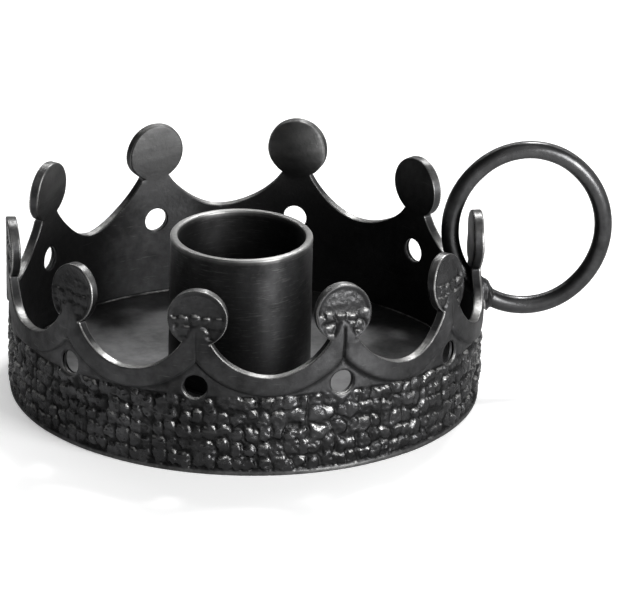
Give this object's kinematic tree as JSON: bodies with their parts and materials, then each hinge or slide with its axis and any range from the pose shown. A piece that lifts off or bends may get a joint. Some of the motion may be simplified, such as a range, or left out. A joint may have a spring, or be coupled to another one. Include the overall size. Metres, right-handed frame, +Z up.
{
  "type": "chamberstick",
  "caption": "Low candlestick shaped as a crown with disc-tipped points, a tube that holds one taper candle, and an upright carrying ring.",
  "frame": {"origin": "middle of the underside, on the crown's axis", "axes": "+Z up along the candle, +X towards the carrying ring"},
  "size_m": [0.1075, 0.0844, 0.0451],
  "materials": {
    "crown_iron": "blackened, satin, edges rubbed bright",
    "plate_iron": "blackened, satin",
    "tube_iron": "blackened, satin, fine turning lines",
    "bar_iron": "blackened, satin",
    "weld_metal": "blackened, rough bead",
    "filler": "dull, rubbed"
  },
  "bodies": {
    "root": {"crown_band": "crown_iron", "base_plate": "plate_iron", "base_braze": "filler", "candle_cup": "tube_iron", "cup_braze": "filler", "ring_handle": "bar_iron", "handle_weld": "weld_metal"}
  },
  "joints": []
}
